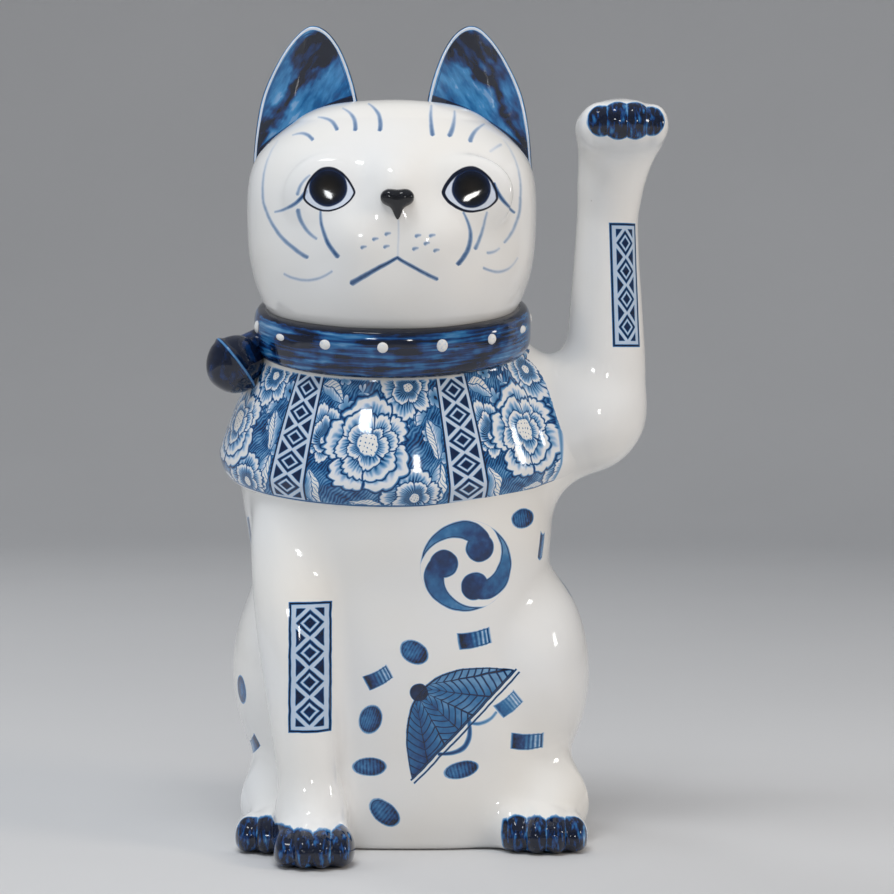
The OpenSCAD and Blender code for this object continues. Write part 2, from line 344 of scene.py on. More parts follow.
def closed_grid(rows, columns, wrap_rows, start=0):
    """Quads of a grid that closes on itself across, and along if wrap_rows."""
    quads = []
    for i in range(rows if wrap_rows else rows - 1):
        for j in range(columns):
            here, ahead = start + i * columns, start + (i + 1) % rows * columns
            after = (j + 1) % columns
            quads.append([here + j, here + after, ahead + after, ahead + j])
    return quads


def ring(name, profile, turns, wobble=0.0):
    """Band round the neck: profile of radius and height, swept round."""
    points = []
    for i in range(turns):
        a = 2 * math.pi * i / turns
        sway = wobble * (math.sin(3 * a + 0.7) + 0.6 * math.sin(7 * a))
        points += [((r + sway) * math.cos(a), (r + sway) * math.sin(a), h + 0.5 * sway) for r, h in profile]
    faces = [face[::-1] for face in closed_grid(turns, len(profile), True)]
    return mesh_object(name, from_neck(points), faces)


def collar_profile(count=28):
    """Rounded band, a little fuller in the middle."""
    out = []
    for i in range(count):
        a = 2 * math.pi * i / count
        c, s = math.cos(a), math.sin(a)
        r = COLLAR_R - 5.4 + 5.6 * abs(c) ** 0.55 * math.copysign(1, c) + (0.5 * (1 - s * s) if c > 0 else 0)
        out.append((r, COLLAR_H / 2 * abs(s) ** 0.62 * math.copysign(1, s)))
    return out


collar = ring("collar", collar_profile(), 240, 0.12)
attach(collar, "root")
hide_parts("collar_band")


def dome(at, out_dir, up_dir, r, lift, seed):
    """Points and faces of a low, slightly uneven dot of slip, with its rim sunk in the collar."""
    rng = np.random.default_rng(seed)
    side = np.cross(up_dir, out_dir)
    stretch = 1 + 0.12 * rng.standard_normal(2)
    rings, around = 6, 20
    points = [at + out_dir * lift]
    for i in range(1, rings + 1):
        t = math.pi / 2 * i / rings * 1.12
        for j in range(around):
            a = 2 * math.pi * j / around
            points.append(at + out_dir * (lift * math.cos(t)) + r * math.sin(t) *
                          (side * math.cos(a) * stretch[0] + up_dir * math.sin(a) * stretch[1]))
    faces = [face[::-1] for face in closed_grid(rings, around, False, 1)]
    faces += [[0, 1 + j, 1 + (j + 1) % around] for j in range(around)]
    faces.append(list(range(around * rings, around * (rings - 1), -1)))
    return points, faces


DOT_COUNT = 15
DOT_FROM = -92.6
DOT_R = 2.3
DOT_LIFT = 1.4
DOT_UP = 3.2


def dot_ring():
    """Slip dots round the collar, above its middle."""
    points, faces = [], []
    up_dir = np.array([0, 0, 1.0])
    for i in range(DOT_COUNT):
        a = math.radians(DOT_FROM + 360 * i / DOT_COUNT)
        out_dir = np.array([math.cos(a), math.sin(a), 0])
        at = out_dir * (COLLAR_R + 0.1) + up_dir * DOT_UP
        p, f = dome(at, out_dir, up_dir, DOT_R, DOT_LIFT, i)
        faces += [[v + len(points) for v in q] for q in f]
        points += p
    return mesh_object("collar_dots", from_neck(points), faces)


studs = dot_ring()
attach(studs, "root")
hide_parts("collar_studs")

BELL_AT = (-64.5, -20, 188)
BELL_R = 11.5
BELL_AXIS = np.array([-0.78, -0.16, -0.60])
BELL_AXIS = BELL_AXIS / np.linalg.norm(BELL_AXIS)
RIB_R = 0.9
RIB_SHIFT = 0.5


def bell_field(x, y, z):
    """Uneven ball with a raised rib round it, across its axis."""
    dx, dy, dz = x - BELL_AT[0], y - BELL_AT[1], z - BELL_AT[2]
    reach = np.sqrt(dx * dx + dy * dy + dz * dz)
    along = dx * BELL_AXIS[0] + dy * BELL_AXIS[1] + dz * BELL_AXIS[2]
    ball = reach - BELL_R + 0.25 * np.sin(dx * 0.5) * np.sin(dz * 0.4 + 1)
    return smooth_min(ball, np.hypot(along + RIB_SHIFT, reach - BELL_R) - RIB_R, 1.6)


def stem_field(x, y, z):
    """Lump of clay between the bell and the collar."""
    return limb(x, y, z, [[-61, -17, 193, 6.5], [-54, -13, 197, 6]])


bell = skin("bell_ball", bell_field, (-82, -35, 174), (-53, -5, 202), VOXEL * 0.5)
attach(bell, "root")
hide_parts("bell", "bell_rib")
stem = skin("bell_stem_lump", stem_field, (-72, -26, 184), (-47, -5, 206), VOXEL * 0.6)
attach(stem, "root")
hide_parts("bell_stem")

# ---------------- ears

EAR_OUTLINE = [(-57, 262), (-57.5, 270), (-56, 283), (-53, 296), (-47, 309), (-41, 317.5), (-35.5, 321.5),
               (-30, 320), (-25, 314), (-21, 304.5), (-18, 293), (-17.5, 285), (-26, 276), (-42, 264)]
EAR_MIDDLE = (-38, 290)
EAR_ROOT = 262
EAR_TALL = 60
EAR_ROLL = 2.2
CUP_DEPTH = 9.5
BACK_SWELL = 9


def closed_curve(points, count):
    """Smooth closed curve through points, by equal shares of its length."""
    p = np.array(points, dtype=float)
    n = len(p)
    fine = []
    for i in range(n):
        a, b, c, d = p[i - 1], p[i], p[(i + 1) % n], p[(i + 2) % n]
        for t in np.arange(0, 1, 0.05):
            fine.append(0.5 * (2 * b + (c - a) * t + (2 * a - 5 * b + 4 * c - d) * t * t
                               + (3 * b - a - 3 * c + d) * t ** 3))
    fine = np.array(fine)
    steps = np.linalg.norm(np.roll(fine, -1, axis=0) - fine, axis=1)
    run = np.concatenate([[0], np.cumsum(steps)])
    at = np.linspace(0, run[-1], count, endpoint=False)
    closed = np.vstack([fine, fine[:1]])
    return np.stack([np.interp(at, run, closed[:, i]) for i in range(2)], axis=1)


def ear_piece(name, node, side):
    """Cupped ear: the front face is hollow, the back is round, and the rim is a soft roll."""
    around, rings = ((192, 40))
    outline = closed_curve(EAR_OUTLINE, around)
    middle = np.array(EAR_MIDDLE)
    share = np.linspace(0.0, 1.0, rings)[1:]

    def place(s, back):
        """The outline shrunk by s towards its middle, on the back or on the cupped front."""
        flat = middle + (outline - middle) * s
        rise = np.clip((flat[:, 1] - EAR_ROOT) / EAR_TALL, 0, 1)
        if back:
            depth = 2 * EAR_ROLL + BACK_SWELL * (1 - s ** 2) * (1 - 0.5 * rise)
        else:
            depth = CUP_DEPTH * (1 - s ** 2.4) * (1 - 0.35 * rise)
        x = flat[:, 0] if side > 0 else 2 * NECK_AT[0] - flat[:, 0]
        return np.stack([x, depth - 3.5 - 1.5 * rise, flat[:, 1]], axis=1)

    layers = [(place(s, False), s, 1) for s in share]
    inner = layers[-1][0]
    flat_out = (outline - middle) / np.linalg.norm(outline - middle, axis=1)[:, None]
    for i in range(1, 8):
        a = math.pi * i / 8
        bulge = EAR_ROLL * math.sin(a) * 0.6
        p = inner.copy()
        p[:, 0] += flat_out[:, 0] * bulge * side
        p[:, 2] += flat_out[:, 1] * bulge
        p[:, 1] += EAR_ROLL * (1 - math.cos(a))
        layers.append((p, 1 + 0.1 * i / 8, 1))
    layers += [(place(s, True), s, 0) for s in share[::-1]]
    points = np.vstack([layer[0] for layer in layers] + [place(0.0, False)[:1], place(0.0, True)[:1]])
    faces = closed_grid(len(layers), around, False)
    n = len(layers) * around
    faces += [[n, (j + 1) % around, j] for j in range(around)]
    last = (len(layers) - 1) * around
    faces += [[n + 1, last + j, last + (j + 1) % around] for j in range(around)]
    if side < 0:
        faces = [face[::-1] for face in faces]
    ear = mesh_object(name, points, faces)
    for attribute, column, ends in (("rim", 1, [0, 0]), ("cup", 2, [1, 0])):
        values = np.concatenate([np.repeat([float(layer[column]) for layer in layers], around), ends])
        made = ear.data.attributes.new(attribute, "FLOAT", "POINT")
        made.data.foreach_set("value", values.astype(np.float32))
    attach(ear, "root")
    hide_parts(node)
    return ear


right_ear = ear_piece("right_ear_cup", "right_ear", 1)
left_ear = ear_piece("left_ear_cup", "left_ear", -1)

# ---------------- nose


def nose_field(x, y, z):
    """Two wings and a tip that runs down to the lip."""
    wings = [egg(x, y, z, (0.4 + 2.9 * side, -69.6, 250.5), (3.5, 3.6, 3.2)) for side in (-1, 1)]
    tip = limb(x, y, z, [[0.4, -69.8, 249.4, 3.4], [0.5, -69.0, 242.8, 0.9]])
    return smooth_min(smooth_min(wings[0], wings[1], 1.8), tip, 2)


nose = skin("nose_pad", nose_field, (-8, -75, 239), (9, -63, 256), 0.35)
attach(nose, "root")
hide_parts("nose")

# ---------------- arithmetic with shader nodes


def maths(operation):
    """Function that puts its values through a math node."""
    def result(*values):
        return calc(operation, *values)
    return result


class Wire:
    """A node's output, number or vector, that adds and multiplies like a number."""

    def __init__(self, socket):
        self.socket = socket

    def __rsub__(self, other):
        return calc("SUBTRACT", other, self)

    __add__ = __radd__ = maths("ADD")
    __mul__ = __rmul__ = maths("MULTIPLY")
    __sub__ = maths("SUBTRACT")
    __truediv__ = maths("DIVIDE")
    __abs__ = maths("ABSOLUTE")


larger = maths("MAXIMUM")
smaller = maths("MINIMUM")
sine = maths("SINE")
fraction = maths("FRACT")
arc_tangent = maths("ARCTAN2")
power = maths("POWER")


def fill(socket, value):
    """A wire or a constant put into a socket."""
    if isinstance(value, Wire):
        socket.id_data.links.new(value.socket, socket)
    else:
        socket.default_value = value


def add_node(kind, *inputs, **settings):
    """Node of a kind, in the tree of its first wire, with its inputs filled in order."""
    tree = next(value.socket.id_data for value in inputs if isinstance(value, Wire))
    made = tree.nodes.new(kind)
    for name, value in settings.items():
        setattr(made, name, value)
    for socket, value in zip(made.inputs, inputs):
        fill(socket, value)
    return made


def calc(operation, *values, clamp=False):
    return Wire(add_node("ShaderNodeMath", *values, operation=operation, use_clamp=clamp).outputs[0])


def linear(value, factor, offset, clamp=False):
    return calc("MULTIPLY_ADD", value, factor, offset, clamp=clamp)


def vector(operation, *values):
    made = add_node("ShaderNodeVectorMath", *values, operation=operation)
    return Wire(made.outputs["Value" if operation in ("DOT_PRODUCT", "LENGTH", "DISTANCE") else "Vector"])


def scaled(v, x, y, z):
    return vector("MULTIPLY", v, (x, y, z))


def split(v):
    return [Wire(out) for out in add_node("ShaderNodeSeparateXYZ", v).outputs]


def join(x, y, z=0.0):
    return Wire(add_node("ShaderNodeCombineXYZ", x, y, z).outputs[0])


def axes_of(at, turn=0.0, size=(1, 1)):
    """A plane frame as three vectors: its place, and its two directions over its size."""
    c, s = math.cos(math.radians(turn)), math.sin(math.radians(turn))
    return (*at, 0), (c / size[0], s / size[0], 0), (-s / size[1], c / size[1], 0)


def coordinates(q, at, ahead, aside):
    """How far q lies from a place along two directions."""
    v = vector("SUBTRACT", q, at)
    return vector("DOT_PRODUCT", v, ahead), vector("DOT_PRODUCT", v, aside)


def frame_at(q, at, turn=0.0, size=(1, 1)):
    """Coordinates of q in a frame at a place, turned by some degrees, in units of size."""
    return coordinates(q, *axes_of(at, turn, size))


def hypot(x, y):
    return vector("LENGTH", join(x, y))


def grouped(build, *values):
    """Outputs of a node group that build makes once from the group's inputs, for all its uses."""
    inner = bpy.data.node_groups.get(build.__name__)
    if inner is None:
        inner = bpy.data.node_groups.new(build.__name__, "ShaderNodeTree")
        for i, value in enumerate(values):
            flat = isinstance(value, (int, float)) or isinstance(value, Wire) and value.socket.type == "VALUE"
            kind = "NodeSocketFloat" if flat else "NodeSocketVector"
            inner.interface.new_socket(f"value_{i}", in_out="INPUT", socket_type=kind)
        given = inner.nodes.new("NodeGroupInput")
        results = build(*(Wire(given.outputs[i]) for i in range(len(values))))
        for i in range(len(results)):
            inner.interface.new_socket(f"ink_{i}", in_out="OUTPUT", socket_type="NodeSocketFloat")
        final = inner.nodes.new("NodeGroupOutput")
        for i, result in enumerate(results):
            inner.links.new(result.socket, final.inputs[i])
    made = values[0].socket.id_data.nodes.new("ShaderNodeGroup")
    made.node_tree = inner
    for socket, value in zip(made.inputs, values):
        fill(socket, value)
    return [Wire(made.outputs[i]) for i in range(len(inner.interface.items_tree) - len(values))]


def noise(v, size, detail=2.0, output="Fac"):
    """Cloudy noise from 0 to 1, with lumps of a size in millimetres."""
    made = add_node("ShaderNodeTexNoise", v)
    made.inputs["Scale"].default_value = 1 / size
    made.inputs["Detail"].default_value = detail
    return Wire(made.outputs[output])


def shaky(v, size, reach):
    """Point moved a little, as by an unsteady hand."""
    away = vector("SUBTRACT", noise(v, size, 1, "Color"), (0.5, 0.5, 0.5))
    return vector("MULTIPLY_ADD", away, (2 * reach, 2 * reach, 2 * reach), v)


def cells(v, size):
    """Random cells: distance from each cell's middle in millimetres, a random vector, and the middle."""
    made = add_node("ShaderNodeTexVoronoi", v)
    made.inputs["Scale"].default_value = 1 / size
    return Wire(made.outputs["Distance"]) * size, Wire(made.outputs["Color"]), Wire(made.outputs["Position"])


def held(value):
    """Number kept from 0 to 1."""
    return calc("ADD", value, 0.0, clamp=True)


def under(value, limit, soft=0.35):
    """1 where value is under the limit, with an edge as wide as soft."""
    return linear(value, -1 / soft, limit / soft + 0.5, clamp=True)


def beyond(value, limit, soft=0.35):
    return linear(value, 1 / soft, 0.5 - limit / soft, clamp=True)


def line(value, at, half, soft=0.35):
    """1 along a line where value is near at."""
    return under(abs(value - at), half, soft)


def most(values):
    """The largest of several inks, each made as it is needed."""
    values = iter(values)
    out = next(values)
    for value in values:
        out = larger(out, value)
    return out


def lay(tone_under, tone, cover):
    """A tone laid over another where cover is 1."""
    return linear(calc("SUBTRACT", tone, tone_under), cover, tone_under)


def ramp(value, *stops):
    """Colours in order of value: pairs of place and colour."""
    made = add_node("ShaderNodeValToRGB", value)
    points = made.color_ramp.elements
    for point, (place, colour) in zip(points, (stops[0], stops[-1])):
        point.position, point.color = place, (*colour, 1)
    for place, colour in stops[1:-1]:
        points.new(place).color = (*colour, 1)
    return Wire(made.outputs["Color"])


def tint(share, first, second):
    """Colour that goes from the first to the second as share goes from 0 to 1."""
    made = add_node("ShaderNodeMix", share, data_type="RGBA")
    for socket, colour in zip(made.inputs[6:8], (first, second)):
        fill(socket, colour if isinstance(colour, Wire) else (*colour, 1))
    return Wire(made.outputs[2])


# ---------------- glaze and ink

COOL_WHITE = (0.80, 0.815, 0.83)
WARM_WHITE = (0.815, 0.80, 0.765)
POOLED_GLAZE_AND_SHADE = (0.50, 0.56, 0.60)
BLUE_WHITE = (0.58, 0.68, 0.86)
WASH = (0.17, 0.35, 0.57)
MID_BLUE = (0.022, 0.155, 0.37)
COBALT = (0.004, 0.040, 0.165)
BLUE_BLACK = (0.002, 0.006, 0.022)
BLACK = (0.002, 0.0025, 0.004)
CREASE_AT = 0.485
PRINT_BLUES = ((0.0, BLUE_WHITE), (0.3, WASH), (0.55, MID_BLUE), (0.78, COBALT), (0.97, BLUE_BLACK))
EAR_BLUES = ((0.0, BLUE_WHITE), (0.25, (0.06, 0.30, 0.62)), (0.50, (0.010, 0.14, 0.38)), (0.72, COBALT),
             (0.92, BLUE_BLACK))
BRUSH_BLUES = ((0.0, (0.62, 0.69, 0.80)), (0.35, (0.20, 0.30, 0.46)), (0.65, (0.04, 0.105, 0.25)),
               (0.95, BLUE_BLACK))
IRON = (0.25, 0.2, 0.16)


def inked(glaze, ink, blues=PRINT_BLUES):
    """Glaze with cobalt under it: 0 is bare and 1 is blue-black, through every blue between."""
    return tint(calc("MULTIPLY", ink, 6.0, clamp=True), glaze, ramp(ink, *blues))


def white_ground(p):
    """White glaze: cool and warm drifts, grey in creases for pooled glaze and painted shade, and a rare iron
    speck.
    """
    drift = linear(noise(p, 55, 1.5), 2.4, -0.7, clamp=True)
    ground = tint(drift, COOL_WHITE, WARM_WHITE)
    bend = Wire(p.socket.id_data.nodes.new("ShaderNodeNewGeometry").outputs["Pointiness"])
    # Grey in creases, where Pointiness is low: pooled glaze and painted shade together.
    crease_pool_and_shade = calc("MULTIPLY", CREASE_AT - bend, 9.0, clamp=True) * 0.6
    ground = tint(crease_pool_and_shade, ground, POOLED_GLAZE_AND_SHADE)
    near, pick, _ = cells(p, 13)
    speck = under(near, 0.28, 0.2) * beyond(split(pick)[0], 0.8, 0.05) * 0.35
    return tint(speck, ground, IRON)


def new_material(name):
    """A material, its shader's inputs, and the point in millimetres."""
    material = bpy.data.materials.new(name)
    material.use_nodes = True
    nodes = material.node_tree.nodes
    place = Wire(nodes.new("ShaderNodeTexCoord").outputs["Object"])
    return material, nodes["Principled BSDF"].inputs, scaled(place, 1 / MM, 1 / MM, 1 / MM)


def glazed(name, colour_of, shine=0.05, ripple=0.22, ripple_size=17, coat=0.3):
    """Glossy glaze: colour_of paints it from the point in millimetres, and its surface ripples a little."""
    material, inputs, p = new_material(name)
    fill(inputs["Base Color"], colour_of(p))
    fill(inputs["Roughness"], noise(p, 9, 3) * 0.05 + shine)
    fill(inputs["Coat Weight"], coat)
    fill(inputs["Coat Roughness"], 0.03)
    bump = material.node_tree.nodes.new("ShaderNodeBump")
    fill(bump.inputs["Distance"], MM)
    fill(bump.inputs["Height"], noise(p, ripple_size, 1.0) * ripple + noise(p, 1.8, 1.0) * 0.006)
    fill(inputs["Normal"], Wire(bump.outputs["Normal"]))
    return material


# ---------------- brush marks


def stroke_ink(q, at, ahead, aside, bow, width, widening, rounding, strength, strengthening, soft):
    """Ink of a stroke that runs from 0 to 1 along ahead, and is bent sideways by bow."""
    run, off = coordinates(q, at, ahead, aside)
    share = held(run)
    off = off - share * (1 - share) * bow
    past = run - share
    half = linear(share, widening, width) - past * past * rounding
    cover = linear((half - abs(off)) / soft, 1.0, 0.5, clamp=True)
    return [cover * linear(share, strengthening, strength)]


def stroke(q, start, middle, end, widths, strengths, soft=0.9):
    """Brush stroke bent through three points, with its half widths and strengths at both ends."""
    chord_x, chord_y = end[0] - start[0], end[1] - start[1]
    length = math.hypot(chord_x, chord_y)
    axes = axes_of(start, math.degrees(math.atan2(chord_y, chord_x)), (length, 1))
    off_x, off_y = middle[0] - (start[0] + end[0]) / 2, middle[1] - (start[1] + end[1]) / 2
    bow = 4 * (chord_x * off_y - chord_y * off_x) / length
    return grouped(stroke_ink, q, *axes, bow, widths[0], widths[1] - widths[0], length * length / max(widths),
                   strengths[0], strengths[1] - strengths[0], soft)[0]


def mark(build, at, size, turn, *given):
    """A mark of a size, built in its own frame, where it reaches from -1 to 1."""
    return grouped(build, *given, *axes_of(at, turn, (size[0] / 2, size[1] / 2)))


def coin_ink(q, grain, at, ahead, aside):
    """Oval coin: dark rim, paler middle with fine hatching, darker at one end."""
    along, across = coordinates(q, at, ahead, aside)
    r = hypot(along, across)
    hatch = sine(along * 30) * grain * 0.18 + (grain - 0.5) * 0.4
    tone = linear(along, 0.17, 0.80) + hatch
    tone = larger(tone - under(r, 0.6, 0.5) * 0.16, line(r, 0.90, 0.06, 0.12))
    return [under(r, 1, 0.2) * tone]


def bar_ink(q, grain, at, ahead, aside):
    """Oblong packet: dark at one end, pale and cross-hatched at the other, inside a thin line."""
    along, across = coordinates(q, at, ahead, aside)
    reach = larger(abs(along), abs(linear(along * along, -0.18, across + 0.08)))
    hatch = sine(along * 21) * held(along + 0.5) * 0.26 + (grain - 0.5) * 0.3
    tone = linear(along, -0.40, 0.62) + hatch
    tone = larger(tone, line(reach, 0.90, 0.06, 0.12) * 0.95)
    return [under(reach, 1, 0.2) * tone]


def lozenges(across, along, half_w, half_h, count):
    """Stack of ringed lozenges between pairs of small triangles."""
    tall = 2 * half_h / count
    wide = half_w * 0.86
    cell = fraction(along / tall + 0.5 * count) - 0.5
    reach = abs(across) / wide + abs(cell) * 2.2
    rings = most([line(reach, 0.84, 0.16, 0.14), under(reach, 0.44, 0.14), beyond(reach, 1.42, 0.12)])
    inside = under(abs(across), wide, 0.4) * under(abs(along), half_h, 0.4)
    return rings * inside * 0.92


def cartouche(across, along, half_w, half_h, count):
    """Upright panel: a dark frame round a pale ground with a stack of lozenges."""
    outside = larger(abs(across) - half_w, abs(along) - half_h)
    frame_line = line(outside, -0.75, 0.45, 0.5) * 0.95
    ground = under(outside, -0.3) * 0.13
    return most([frame_line, ground, lozenges(across, along, half_w - 2.2, half_h - 2.6, count)])


# ---------------- face

# Strokes as seen from the front: start, middle, end, half widths and strengths at the two ends.
FACE_STROKES = [
    ((-11.3, 289), (-7.6, 284.8), (-6.7, 277.8), (0.4, 0.85), (0.22, 0.56)),
    ((-21.2, 287.2), (-17.2, 283.2), (-16.2, 278), (0.4, 0.85), (0.18, 0.50)),
    ((-30.8, 283.8), (-26.3, 282.2), (-23.2, 278.2), (0.4, 0.75), (0.18, 0.50)),
    ((-40.4, 276.6), (-36.9, 277), (-32.6, 274.2), (0.4, 0.75), (0.18, 0.46)),
    ((12.9, 288.5), (12.8, 282.3), (13.4, 275.7), (0.4, 0.75), (0.20, 0.56)),
    ((21.9, 286.2), (21.6, 281), (20, 275.7), (0.4, 0.85), (0.18, 0.50)),
    ((33.4, 281.5), (30.4, 278.6), (27.9, 273.7), (0.4, 0.8), (0.17, 0.46)),
    ((39.7, 272.8), (37.7, 271.4), (35.7, 269.7), (0.6, 0.5), (0.14, 0.10)),
    ((-46.8, 274.7), (-51.3, 262.5), (-51.4, 250), (0.35, 0.5), (0.08, 0.28)),
    ((-51.4, 250), (-46.5, 239.5), (-34, 228.5), (0.5, 0.7), (0.28, 0.42)),
    ((-37.4, 246.2), (-35.1, 240.2), (-30.5, 235.5), (0.8, 0.5), (0.42, 0.28)),
    ((-28.7, 246.2), (-27.3, 237), (-22.2, 228.7), (0.3, 0.8), (0.50, 0.66)),
    ((-43, 222.4), (-35, 219.8), (-24.5, 222.9), (0.5, 0.5), (0.20, 0.20)),
    ((25.3, 245), (27.9, 236), (23.4, 226), (0.35, 0.9), (0.48, 0.64)),
    ((34.1, 245.4), (32.5, 239), (29.8, 231.8), (0.3, 0.6), (0.26, 0.40)),
    ((40.7, 275.6), (46.3, 264), (47.2, 252), (0.35, 0.45), (0.08, 0.24)),
    ((47.2, 252), (46, 243.5), (41, 234.5), (0.5, 0.5), (0.26, 0.22)),
    ((34.5, 230.2), (36.5, 230.6), (38.8, 232), (0.5, 0.4), (0.24, 0.16)),
    ((33.2, 224.4), (40.5, 223.6), (46, 228.8), (0.6, 0.35), (0.26, 0.12)),
    ((0.4, 227.9), (-8, 223.4), (-16.6, 218.6), (0.4, 0.95), (0.90, 0.64)),
    ((0.4, 227.9), (7.5, 223.8), (15.2, 220), (0.45, 0.55), (0.90, 0.64)),
    ((0.8, 242), (0.8, 235), (0.5, 228), (0.2, 0.2), (0.14, 0.14)),
    ((-34.2, 253.4), (-38.6, 248.8), (-46.5, 246.2), (0.65, 0.35), (0.90, 0.30)),
    ((-33, 259.4), (-35.9, 256.4), (-37.6, 252.4), (0.35, 0.6), (0.22, 0.34)),
    ((36.6, 256), (40, 250.4), (44.6, 246.2), (0.75, 0.35), (0.92, 0.62)),
]
WHISKER_DOTS = [(-3.2, 237), (-7.8, 235), (-12.3, 232), (-3.6, 232.2), (8.2, 236.3), (13.5, 236.4),
                (11.4, 233.4), (7.1, 231.4), (15, 230.8)]
# Middle, half width, height over and under the middle, turn; then the iris: middle and radius.
EYES = [((-25.5, 251.9), 9.6, 10.3, 6.0, 5, (-25.8, 254.7), 7.3),
        ((27.8, 251.9), 10.2, 10.3, 6.2, -6, (28.2, 254.4), 7.4)]
# Iris tones from its middle out: a faint warm middle painted as a glint, then black, blue-black and a dark
# blue ring.
IRIS_TONES_AND_GLINT = ((0.0, (0.012, 0.009, 0.006)), (0.62, BLACK), (0.86, BLUE_BLACK), (1.0, (0.012, 0.03, 0.09)))
# The front of the head is what lies before this depth.
FACE_Y = -12


def eye_opening(q, middle, half_w, rise, fall, turn):
    """0 in the middle of an eye's opening and 1 along its lids."""
    across, up = frame_at(q, middle, turn, (half_w, 1))
    up = larger(up * (1 / rise), up * (-1 / fall))
    return power(up, 1.5) + power(abs(across), 1.9)


def whisker_dot(q, x, z):
    """Short, faint dab of the brush."""
    return stroke(q, (x - 0.7, z - 0.3), (x, z), (x + 0.8, z + 0.1), (0.55, 0.3), (0.42, 0.3))


def painted_face(p):
    """Head: strokes, whisker dots and two eyes on white glaze."""
    ground = white_ground(p)
    x, y, z = split(p)
    facing = under(y, FACE_Y, 4)
    q = shaky(join(x, z), 5, 0.22)
    marks = most(stroke(q, *places) for places in FACE_STROKES)
    dots = most(whisker_dot(q, *place) for place in WHISKER_DOTS)
    watery = noise(q, 2.5, 2) * 0.6 + 0.7
    colour = inked(ground, most([marks * watery, dots]) * facing, BRUSH_BLUES)
    for middle, half_w, rise, fall, turn, iris_at, iris_r in EYES:
        opening = eye_opening(q, middle, half_w, rise, fall, turn)
        inside = under(opening, 1, 0.05) * facing
        colour = tint(inside * 0.65, colour, BLUE_WHITE)
        reach = vector("DISTANCE", q, (*iris_at, 0))
        # The iris, with a painted glint in its warm middle.
        deep = ramp(reach * (1 / iris_r), *IRIS_TONES_AND_GLINT)
        colour = tint(under(reach, iris_r, 0.4) * inside, colour, deep)
        inner_corner = under(split(q)[0], middle[0], half_w) * (1 if turn < 0 else 0.2)
        thick = linear(inner_corner, 0.055, 0.085)
        lid = under(abs(opening - 1) - thick, 0, 0.06) * facing
        colour = tint(lid, colour, BLUE_BLACK)
    return colour


# ---------------- body decoration

CREST_AT = (26.4, 110.7)
CREST_R = 17.2
HAT_AT = (26.15, 48.4)
HAT_TURN = 45.9
HAT_HALF = 29.3
HAT_TALL = 22.5
# Coins and packets: middle, size and turn, as seen from the front, from a side or from behind.
FRONT_COINS = [((48.4, 128.1), (8.6, 7.4), 8), ((6.4, 77.8), (11, 8.2), -32), ((-10.4, 51.6), (8.4, 11), -18),
               ((-10.9, 33.2), (12.6, 6.9), 2), ((24.4, 31.8), (13, 6.4), 12), ((-5.1, 15.4), (13.2, 8), -40)]
FRONT_BARS = [((29.7, 82.4), (12.2, 6), 10), ((-7.3, 67.8), (10, 5.6), 28), ((50.3, 41.4), (12.4, 6), -4)]
RIGHT_COINS = [((-21, 59.5), (9, 11), 15), ((6, 92), (11, 8), -20), ((24, 60), (12, 7.5), 12),
               ((-4, 36), (8.5, 11), 30), ((34, 28), (12, 7), -12)]
RIGHT_BARS = [((-20, 37.7), (10, 5), -25), ((-14, 122), (5, 11), 8), ((14, 76), (12, 6), 14),
              ((32, 100), (10, 5.6), -28), ((14, 44), (11, 5.5), -8)]
LEFT_COINS = [((4, 98), (11, 8), 24), ((26, 76), (12, 7.5), -14), ((6, 58), (8.5, 11), -24),
              ((32, 38), (12, 7), 10)]
LEFT_BARS = [((-23, 116.5), (4.4, 10), -6), ((18, 114), (11, 5.6), 22), ((30, 56), (12, 6), 8),
             ((10, 30), (11, 5.5), -16)]
BACK_COINS = [((-34, 104), (12, 8), -25), ((2, 116), (8.5, 11), 12), ((32, 84), (12.5, 7), 6),
              ((-8, 62), (11, 8), 38), ((-40, 44), (12, 7), 10), ((22, 40), (8, 11), -20)]
BACK_BARS = [((-16, 92), (12, 6), 12), ((14, 96), (10, 5.6), -24), ((-30, 70), (11, 5.6), -8),
             ((40, 58), (12, 6), 18), ((-6, 38), (11, 5.6), -14)]
LEG_PANEL_AT = (-33.2, 72.8)
LEG_PANEL_HALVES = (8.3, 24.8)
FOREARM_AXIS = (82.6, -8)
FOREARM_R = 12.9
ARM_PANEL_Z = 219.2
ARM_PANEL_ROUND = 7.6
ARM_PANEL_HALVES = (6.9, 24.6)
TOE_WASH_TOP = 13.1
# The wash of the raised toes: middle, turn, and half sizes.
RAISED_WASH = ((87.8, 282.0), 0, (16.2, 7.1))
# Where the front, the sides and the back begin, and the height where the marks of the sides end.
FRONT_FROM = -12
SIDE_FROM = 40
BACK_FROM = 26
SIDE_TOP = 130


def comma(q, cloud, start):
    """One of the crest's three commas: a round head at an angle, and a tail that sweeps on round the rim."""
    seam = 50
    x, y = frame_at(q, CREST_AT, start + seam)
    r = hypot(x, y)
    turned = arc_tangent(y, x) + math.radians(seam)
    head_r = CREST_R * 0.31
    swell = held(turned * 1.2 + 0.06)
    outer = linear(swell * (2 - swell), CREST_R * 0.21, CREST_R * 0.81)
    inner = linear(held(turned * 0.56 - 0.22), CREST_R * 0.53, CREST_R * 0.5)
    tail = larger(r - outer, inner - r)
    tail = larger(tail, linear(turned, -9, -0.45))
    ahead, aside = frame_at(q, CREST_AT, start)
    blob = hypot(ahead - CREST_R * 0.5, aside) - head_r
    edge = smaller(tail, blob)
    tone = linear(turned, -0.20, 0.80) + (cloud - 0.5) * 0.5
    tone = larger(smaller(tone, 0.86), line(edge, -0.4, 0.25, 0.5))
    return under(edge, 0, 0.5) * tone


